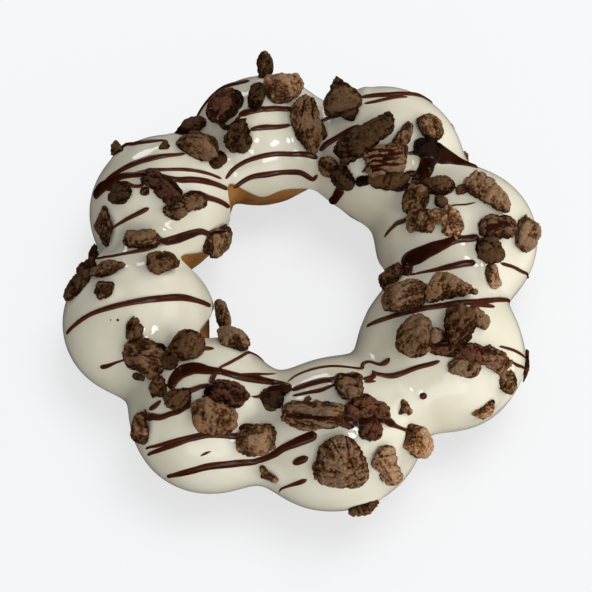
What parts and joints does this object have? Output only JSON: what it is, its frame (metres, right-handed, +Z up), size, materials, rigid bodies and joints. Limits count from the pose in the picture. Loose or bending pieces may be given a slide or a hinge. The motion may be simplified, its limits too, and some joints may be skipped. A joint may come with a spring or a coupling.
{
  "type": "mochi doughnut",
  "caption": "Ring-shaped mochi doughnut of joined round balls of fried dough, with a coat of white icing, a dark chocolate drizzle and cookie crumbs on top.",
  "frame": {"origin": "middle of the outline on the surface that the doughnut rests on", "axes": "+Z up out of the iced side, along the hole; the hole's bearing is counted from +X towards +Y"},
  "size_m": [0.0946, 0.095, 0.0338],
  "materials": {
    "fried_dough": "golden brown fried crust, slightly oily",
    "white_icing": "glossy set icing, warm white",
    "chocolate_drizzle": "glossy dark chocolate",
    "cookie_crumb": "dull rough cocoa crumb"
  },
  "bodies": {
    "root": {"dough_ring": "fried_dough", "icing_coat": "white_icing"}
  },
  "joints": []
}
